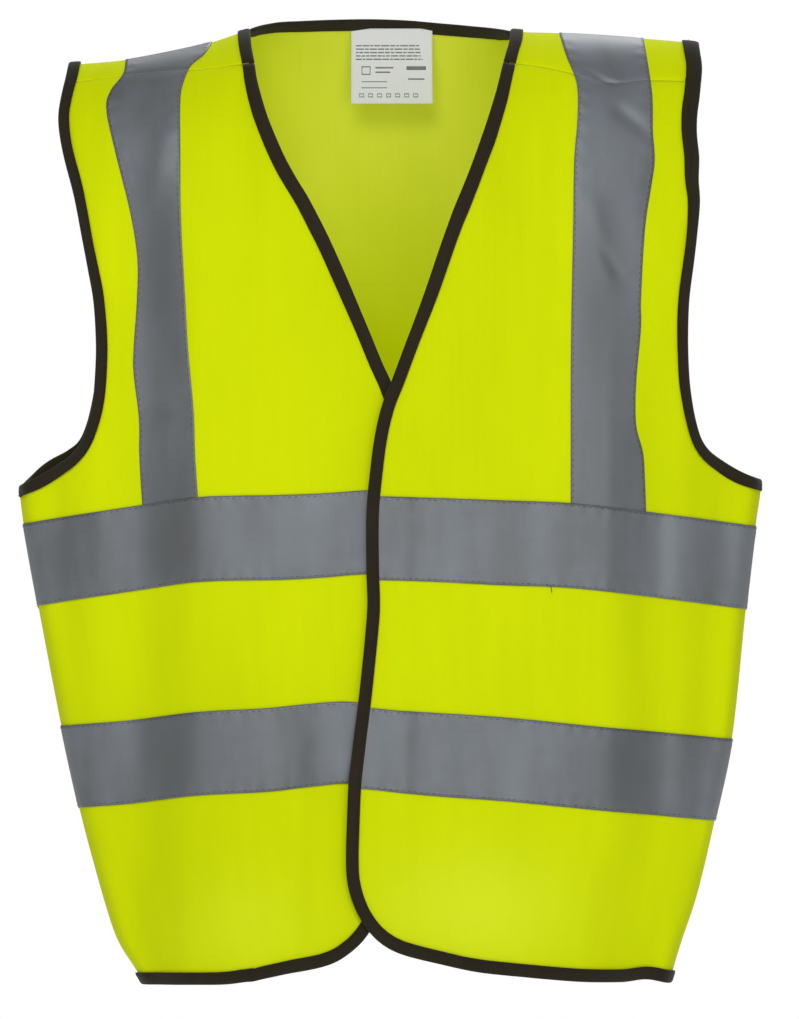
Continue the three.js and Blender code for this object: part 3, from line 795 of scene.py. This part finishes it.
FLOOR_HALF_WIDTH, FLOOR_FRONT, FLOOR_BACK, FLOOR_Z = 12000, -14000, 8500, -900
corners = [(x, y, FLOOR_Z) for x, y in ((-FLOOR_HALF_WIDTH, FLOOR_FRONT), (FLOOR_HALF_WIDTH, FLOOR_FRONT),
                                        (FLOOR_HALF_WIDTH, FLOOR_BACK), (-FLOOR_HALF_WIDTH, FLOOR_BACK))]
new_object("floor", corners, [(0, 1, 2, 3)], None, pale_floor())

# == Bodies: the bend lines at the front flaps' hinges
JOINT = {j["name"]: j for j in frame["joints"]}
FLAP = {"right": "right_front", "left": "left_front"}
# Ends of the bend zone, a little outside the hinge line and a little inside it
OUTWARD, INWARD = 0.0155, 0.030


def bend_line(side):
    joint = JOINT[f"{side}_front_turn"]
    p, a = Vector(joint["pos_m"]), Vector(joint["axis"]).normalized()
    inward = Vector((1, 0, 0)) if side == "right" else Vector((-1, 0, 0))
    inward = inward - inward.dot(a) * a
    inward.y = 0
    inward.normalize()
    return p - OUTWARD * inward, p + INWARD * inward


def bends(piece, side):
    start, end = bend_line(side)
    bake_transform(piece)


RAISED = {"right": False, "left": True}
LENGTH = 590.0

# == Cloth panels
def on_chart(points, side, step=1.2):
    """A free edge, measured as seen, moved a little for its distance from the camera, in the chart."""
    line = spline(points, step)
    x, z = line.T
    line = np.stack([x - 0.3 * np.sign(x) * (np.abs(x) > 175) * bell(z + 185, 75),
                     z + 0.9 * smooth(-500, -560, z) * smooth(165, 115, np.abs(x))], 1)
    return np.stack(chart(line[:, 0], line[:, 1], side), 1)


def near_ridge(line):
    return line[line[:, 1] > -130]


def front_outline(edge, arm, sign):
    edge, arm = on_chart(edge, -1, 4), on_chart(arm, -1, 4)
    out = sign * (REACH + 20)
    beside = [(out, edge[-1, 1]), (out, arm[0, 1])]
    return np.vstack([edge, beside, arm, [(arm[-1, 0], 90), (edge[0, 0], 90)]])


def back_outline():
    hem, right, left = (on_chart(points, 1, 4) for points in (BACK_HEM, BACK_ARM_RIGHT, BACK_ARM_LEFT))
    over = [near_ridge(on_chart(points, -1, 4)) for points in (ARM_LEFT, NECK_LEFT, NECK_RIGHT, ARM_RIGHT)]
    out = REACH + 20
    return np.vstack([hem, [(out, hem[-1, 1]), (out, left[0, 1])], left, over[0][::-1], over[1][::-1],
                      on_chart(BACK_NECK, 1, 2)[::-1], over[2], over[3], right[::-1],
                      [(-out, right[0, 1]), (-out, hem[0, 1])]])


OUTLINE = {"right": front_outline(NECK_RIGHT + CENTRE_RIGHT, ARM_RIGHT, -1),
           "left": front_outline(NECK_LEFT + CENTRE_LEFT, ARM_LEFT, 1), "back": back_outline()}
CELL = 2.6


def seam_v(across):
    """v of the shoulder seam on the front, for each across."""
    mid, half = middle_and_half(-30.0)
    x = mid + half * share_of(across)
    return chart(x, along(SEAM, x), -1)[1]


COLUMNS = np.linspace(-REACH, REACH, int(2 * REACH / CELL) + 1)
SEAM_LINE = seam_v(COLUMNS)
CLOTH_END = QUARTER + LENGTH - ROUND + 20
MARGIN = 1.6


def panel(name, side, stop, nodes, raised=False):
    """A cloth panel from the shoulder seam to `stop`, cut along the outline of `side`."""
    t = np.linspace(0, 1, int((abs(stop) + (60 if side == "back" else 0)) / CELL))[:, None]
    across = np.broadcast_to(COLUMNS, (len(t), len(COLUMNS)))
    v = SEAM_LINE * (1 - t) + stop * t
    keep = inside(OUTLINE[side], across, v).reshape(across.shape) > MARGIN
    piece = cloth_sheet(name, across, v, keep, [cloth_out, cloth_inside_painted_light], raised)
    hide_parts(*nodes)
    return piece


fronts = {side: panel(f"front_cloth_{side}", side, -CLOTH_END,
                      (f"front_panel_{side}", f"front_panel_{side}_flap"), RAISED[side])
          for side in ("right", "left")}
back = panel("back_cloth", "back", CLOTH_END, ("back_panel",))

# == Bindings
def below_seam(line):
    return line[line[:, 1] <= seam_v(line[:, 0])]


trims = {"right": [], "left": [], "back": []}
binding_edges = {}


def add_binding(name, key, nodes, line, raised, inward_side, **look):
    piece, line = binding(name, line, raised, inward_side, **look)
    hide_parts(*nodes)
    binding_edges[key] = (line, inward_side)
    return piece


def front_width(p):
    return (1.02 + 0.10 * smooth(-20, -70, p[:, 2]) * smooth(-190, -140, p[:, 2])
            + 0.05 * smooth(-540, -562, p[:, 2]))


def wider_at_top(p):
    return 1 + 0.36 * smooth(-125, -70, p[:, 2])


for side, edge, inward_side, seed in (("right", NECK_RIGHT + CENTRE_RIGHT, -1, 3),
                                      ("left", NECK_LEFT + CENTRE_LEFT, 1, 5)):
    line = below_seam(on_chart(edge, -1))
    line[-1, 0] = np.sign(line[-1, 0]) * REACH
    nodes = [f"edge_binding_{side}_{part}" for part in ("neck", "flap", "hem")]
    trims[side].append(add_binding(f"front_binding_{side}", side, nodes, even_chart(line, RAISED[side]),
                                   RAISED[side], inward_side, seed=seed, wide=front_width))

right_end, left_end = on_chart(NECK_RIGHT, -1)[::-1], on_chart(NECK_LEFT, -1)
line = np.vstack([right_end[right_end[:, 1] >= seam_v(right_end[:, 0])], on_chart(BACK_NECK, 1),
                  left_end[left_end[:, 1] >= seam_v(left_end[:, 0])]])
neck_binding = add_binding("back_neck_binding", "neck", ["neck_binding_back"], even_chart(line, False, 2.0),
                           False, 1, seed=8, wide=1.05)

line = on_chart(BACK_HEM, 1)
line[[0, -1], 0] = -REACH, REACH
line = even_chart(line, False)
hem = add_binding("back_hem_binding", "hem", ["hem_binding_back"], line, False, -1, seed=11)

arms = []
for side, front_arm, back_arm, inward_side, seed, wide in (
        ("right", ARM_RIGHT, BACK_ARM_RIGHT, -1, 13, 1.0),
        ("left", ARM_LEFT, BACK_ARM_LEFT, 1, 17, wider_at_top)):
    line = even_chart(np.vstack([on_chart(front_arm, -1), on_chart(back_arm[::-1], 1)]), False)
    arms.append(add_binding(f"arm_binding_{side}", f"arm_{side}", [f"armhole_binding_{side}"], line, False,
                            inward_side, closed=True, ruffle=0.8, seed=seed, wide=wide))

# == Reflective tapes
ACROSS, ROWS = 27, 170
TOP_EDGE, BOTTOM_EDGE = -0.2, 50.7
FLAT_LOW, FLAT_HIGH = 0.18, 0.55
OVER_LOW, OVER_HIGH = 0.62, 0.98
STITCH_INSET, STITCH_SUNK = 1.5, 0.22
tape_rows = {"right": [], "left": [], "torso": []}


def tape_end(edge, z, sign):
    """across at height z of a tape's end, tucked under the binding of the free edge."""
    points = spline(edge, 1.0)
    points = points[np.argsort(points[:, 1])]
    mid, half = middle_and_half(z)
    return float(across_of((np.interp(z, points[:, 1], points[:, 0]) + sign * 2.2 - mid) / half))


def level_grid(top, side, edge_right, edge_left):
    """across and v of a level tape. An edge is that of a front's free edge, or None at the side seam."""
    share = np.linspace(0, 1, ROWS)
    grid_a, grid_v = np.zeros((ROWS, ACROSS)), np.zeros((ROWS, ACROSS))
    height = np.mean([point[1] for point in top])
    for k, drop in enumerate(np.linspace(TOP_EDGE, BOTTOM_EDGE, ACROSS)):
        z_mid = height - drop
        first = -REACH if edge_right is None else tape_end(edge_right, z_mid, 1)
        last = REACH if edge_left is None else tape_end(edge_left, z_mid, -1)
        a = first + (last - first) * share
        z = np.full(ROWS, z_mid)
        for _ in range(6):
            mid, half = middle_and_half(z)
            x = mid + half * share_of(a)
            if z_mid < -400:
                z = along(top, x) - drop + 1.3 * (drop / 50) * bell(x + 12, 32)
            else:
                z = along(top, x) - drop - 0.7 * (drop / 50) * smooth(20, 70, np.abs(x))
        grid_a[:, k] = a
        grid_v[:, k] = chart(x, z, side)[1]
    return grid_a, grid_v


def tape_stitch_rows(grid_a, grid_v, raised, high):
    p = surface(grid_a, grid_v, raised)
    rows = []
    for near, far in ((0, 1), (-1, -2)):
        t = STITCH_INSET / np.linalg.norm(p[:, far] - p[:, near], axis=1)
        a, v = (grid[:, near] + (grid[:, far] - grid[:, near]) * t for grid in (grid_a, grid_v))
        q, normal, _, _ = frames(a, v, raised)
        rows.append((q + normal * (high - STITCH_SUNK), normal))
    return rows


def add_tape(name, nodes, grid_a, grid_v, key, raised=False, flat=False):
    """A tape with its two rows of stitches. A flat tape lies under the level ones."""
    low, high, droop, pucker = (FLAT_LOW, FLAT_HIGH, 0.1, 0.12) if flat else (OVER_LOW, OVER_HIGH, 0.12, 0.2)
    piece = ribbon(name, grid_a, grid_v, low, high, raised, droop, pucker)
    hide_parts(*nodes)
    tape_rows[key] += tape_stitch_rows(grid_a, grid_v, raised, high)
    return piece


for level, tables in (("upper", UPPER_FRONT), ("lower", LOWER_FRONT)):
    for side, edges in (("right", (None, NECK_RIGHT + CENTRE_RIGHT)),
                        ("left", (NECK_LEFT + CENTRE_LEFT, None))):
        trims[side].append(add_tape(
            f"{level}_tape_front_{side}", [f"{level}_tape_{side}", f"{level}_tape_{side}_flap"],
            *level_grid(tables[side], -1, *edges), side, RAISED[side]))
    trims["back"].append(add_tape(f"{level}_tape_rear", [f"{level}_tape_back"],
                                  *level_grid(TAPE_BACK[level], 1, None, None), "torso"))


def edge_at(line, z):
    return np.interp(z, line[::-1, 1], line[::-1, 0])


def on_tape(side, t, v):
    """across of the shoulder tape's point at share t of its width, v along it."""
    inner, outer = (spline(points, 2.0) for points in SHOULDER_TAPE[side])
    z = np.full(np.shape(v), -40.0)
    for _ in range(8):
        x = edge_at(inner, z) * (1 - t) + edge_at(outer, z) * t
        z = along(SHOULDER, x) - np.where(-v < QUARTER, ROUND * (1 - np.cos(v / ROUND)), ROUND - v - QUARTER)
    middle = (inner[0, 0] + outer[0, 0]) / 2
    rear = middle * np.interp(v, [0, 400], [1, 0.93]) + (t - 0.5) * 47
    x = np.where(v < 0, x, x * (1 - smooth(0, 90, v)) + rear * smooth(0, 90, v))
    mid, half = middle_and_half(np.where(v < 0, z, -60.0))
    return across_of((x - mid) / half)


SEAM_GAP = 0.06
shoulder_tapes = []
for side in ("right", "left"):
    t = np.broadcast_to(np.linspace(0, 1, ACROSS), (ROWS, ACROSS))
    start = np.full(ACROSS, -30.0)
    for _ in range(6):
        start = seam_v(on_tape(side, t[0], start))
    share = np.linspace(0, 1, ROWS)[:, None] ** 1.3
    for part, node, first, last in (("front", "front", start - SEAM_GAP, -(QUARTER + 299 - ROUND)),
                                    ("rear", "back", start + SEAM_GAP, QUARTER + 310 - ROUND)):
        grid_v = first * (1 - share) + last * share
        shoulder_tapes.append(add_tape(f"shoulder_tape_{side}_{part}", [f"shoulder_tape_{node}_{side}"],
                                       on_tape(side, t, grid_v), grid_v, "torso", flat=True))

# == Stitching
def binding_stitch_rows(key, raised=False):
    """One closed or open row of stitches along a binding's inner edge."""
    line, inward_side = binding_edges[key]
    _, _, inward, da, dv = edge_frames(line, inward_side, raised)
    p, normal, _, _ = frames(*shift_in_chart(line, da, dv, inward * 6.3), raised)
    order = np.arange(len(p) + key.startswith("arm")) % len(p)
    return [((p + normal * 1.74)[order], normal[order])]


def add_stitches(name, rows, material, slot, **size):
    piece = stitches(name, rows, material, **size)
    return piece


for side in ("right", "left"):
    trims[side] += [add_stitches(f"tape_stitches_{side}", tape_rows[side], thread_grey, "tape"),
                    add_stitches(f"binding_stitches_{side}", binding_stitch_rows(side, RAISED[side]),
                                 thread_black, "binding")]
torso_stitches = add_stitches("tape_stitches_torso", tape_rows["torso"], thread_grey, "tape")
rows = sum((binding_stitch_rows(key) for key in ("neck", "hem", "arm_right", "arm_left")), [])
torso_binding_stitches = add_stitches("binding_stitches_torso", rows, thread_black, "binding")

tail_a, tail_v = chart(np.linspace(97.4, 98.2, 12), np.linspace(-336.2, -342, 12), -1)
p, normal, _, _ = frames(tail_a, tail_v, True)
rows = [(p + normal * np.linspace(1.0, 1.9, 12)[:, None], normal)]
tail = add_stitches("loose_thread_end", rows, thread_grey, "tape", length=4.8, gap=9, thick=0.25)
trims["left"].append(tail)

# == Fastening patches
BEHIND_EDGE = 5.0
# Points of a hook's stem: out from the patch, up and half thickness
STEM = [(0, 0, 0.16), (0.55, 0, 0.13), (0.8, 0.16, 0.12), (0.62, 0.38, 0.07)]


def hooks(points, normals, base):
    """Small bent hooks on the inner face, with faces counted from `base`."""
    verts, faces = [], []
    for point, normal in zip(points, normals):
        aside = np.cross(normal, (0, 0, 1))
        aside /= np.linalg.norm(aside)
        up = np.cross(aside, normal)
        for out, rise, w in STEM:
            c = point - normal * (1.22 + out) + up * rise
            verts += [c + aside * w, c + up * w, c - aside * w, c - up * w]
        for j in range(12):
            beside = j + 1 if j % 4 < 3 else j - 3
            faces.append([base + j, base + beside, base + beside + 4, base + j + 4])
        faces += [[base + 12, base + 13, base + 14, base + 15], [base + 3, base + 2, base + 1, base]]
        base += 16
    return np.array(verts), faces


def patch_piece(kind, at):
    node = f"{kind}_patch_{at}"
    lo, hi = (np.array(c) * 1000 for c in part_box(node))
    if kind == "loop":
        lo[0] += BEHIND_EDGE
    x, z = np.meshgrid(np.linspace(lo[0], hi[0], 27), np.linspace(lo[2], hi[2], 61))
    p, n, _, _ = frames(*chart(x, z, -1), kind == "hook")
    faces = slab_faces(*x.shape, False)
    if kind == "loop":
        from_rim = np.minimum(np.minimum(x - lo[0], hi[0] - x), np.minimum(z - lo[2], hi[2] - z))
        nap = 0.55 * np.random.default_rng(len(node)).random(x.shape) * np.clip(from_rim / 1.5, 0, 1)
        verts = np.vstack([(p + n * (0.85 + nap)[..., None]).reshape(-1, 3), (p + n * 0.2).reshape(-1, 3)])
    else:
        cells = (slice(3, -3, 2), slice(2, -2, 2))
        hook_verts, hook_faces = hooks(p[cells].reshape(-1, 3), n[cells].reshape(-1, 3), 2 * x.size)
        verts = np.vstack([(p - n * 0.62).reshape(-1, 3), (p - n * 1.25).reshape(-1, 3), hook_verts])
        faces += hook_faces
    black_kind = hook_black if kind == "hook" else loop_black
    piece = new_object(f"{node}_detail", verts, faces, verts[:, [0, 2]], black_kind)
    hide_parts(node)
    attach(piece, FLAP["left" if kind == "hook" else "right"])


for kind in ("loop", "hook"):
    for at in ("top", "middle", "bottom"):
        patch_piece(kind, at)

# == Label: satin with blank rules and empty boxes
LABEL_LOW, LABEL_HIGH = (np.array(c) * 1000 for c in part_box("size_label"))
LABEL_LOW[2] += 2.2
LABEL_HIGH[2] += 4.6


def on_label(u, w, out=0.0):
    """A point of the curled label: u across it, w down it, `out` in front of it."""
    curl = 1.2 * np.sin(w * math.pi) * (0.4 + 0.6 * np.sin(u * math.pi)) + 1.6 * w ** 2 * (1 - u) * 0.6
    x = LABEL_LOW[0] + (LABEL_HIGH[0] - LABEL_LOW[0]) * u + 0.5 * w ** 2 * (u - 0.2)
    z = LABEL_HIGH[2] - (LABEL_HIGH[2] - LABEL_LOW[2]) * w
    return np.stack(np.broadcast_arrays(x, LABEL_LOW[1] - curl - out, z), -1)


u, w = np.meshgrid(np.linspace(0, 1, 41), np.linspace(0, 1, 37))
face = on_label(u, w)
verts = np.vstack([face.reshape(-1, 3), (face + np.array([0, 0.32, 0])).reshape(-1, 3)])
label = new_object("neck_label", verts, slab_faces(*u.shape, True), verts[:, [0, 2]], satin)
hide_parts("size_label")
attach(label, "label")

# Each bar is (left, right, top, bottom) as shares of the label
bars = []
draw = np.random.default_rng(21)
for k in range(5):
    at, end, top = 0.06, 0.9 - 0.08 * draw.random(), 0.22 + 0.045 * k
    while at < end:
        step = draw.uniform(0.03, 0.1)
        bars.append((at, min(at + step, end), top, top + 0.017))
        at += step + 0.012
bars += [(0.13, 0.24, 0.50, 0.515), (0.13, 0.24, 0.60, 0.615), (0.13, 0.14, 0.5, 0.615),
         (0.23, 0.24, 0.5, 0.615), (0.30, 0.52, 0.51, 0.53), (0.30, 0.48, 0.57, 0.59),
         (0.68, 0.92, 0.50, 0.55), (0.70, 0.90, 0.66, 0.68), (0.13, 0.44, 0.70, 0.712),
         (0.13, 0.44, 0.78, 0.792)]
for left in (0.10 + 0.11 * k for k in range(7)):
    bars += [(left, left + 0.06, 0.86, 0.872), (left, left + 0.06, 0.90, 0.912),
             (left, left + 0.007, 0.86, 0.912), (left + 0.053, left + 0.06, 0.86, 0.912)]
verts, faces = [], []
for left, right, top, bottom in bars:
    b = len(verts) * 16
    across = np.linspace(left, right, 4)
    verts.append(np.concatenate([on_label(across, w, out) for out in (0.03, -0.02) for w in (top, bottom)]))
    for i in range(b, b + 3):
        faces += [[i, i + 4, i + 5, i + 1], [i + 8, i + 9, i + 13, i + 12], [i, i + 1, i + 9, i + 8],
                  [i + 4, i + 12, i + 13, i + 5]]
    faces += [[b, b + 8, b + 12, b + 4], [b + 3, b + 7, b + 15, b + 11]]
verts = np.vstack(verts)
label_marks = new_object("label_marks", verts, faces, verts[:, [0, 2]], print_grey)
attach(label_marks, "label")

# == The fronts and their trims are baked in place; the back and its trims follow the torso
for side in ("right", "left"):
    for piece in [fronts[side], *trims[side]]:
        bends(piece, side)
torso_trims = [neck_binding, hem, *arms, *trims["back"], *shoulder_tapes, torso_stitches,
               torso_binding_stitches]
for piece in [back, *torso_trims]:
    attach(piece, "torso")
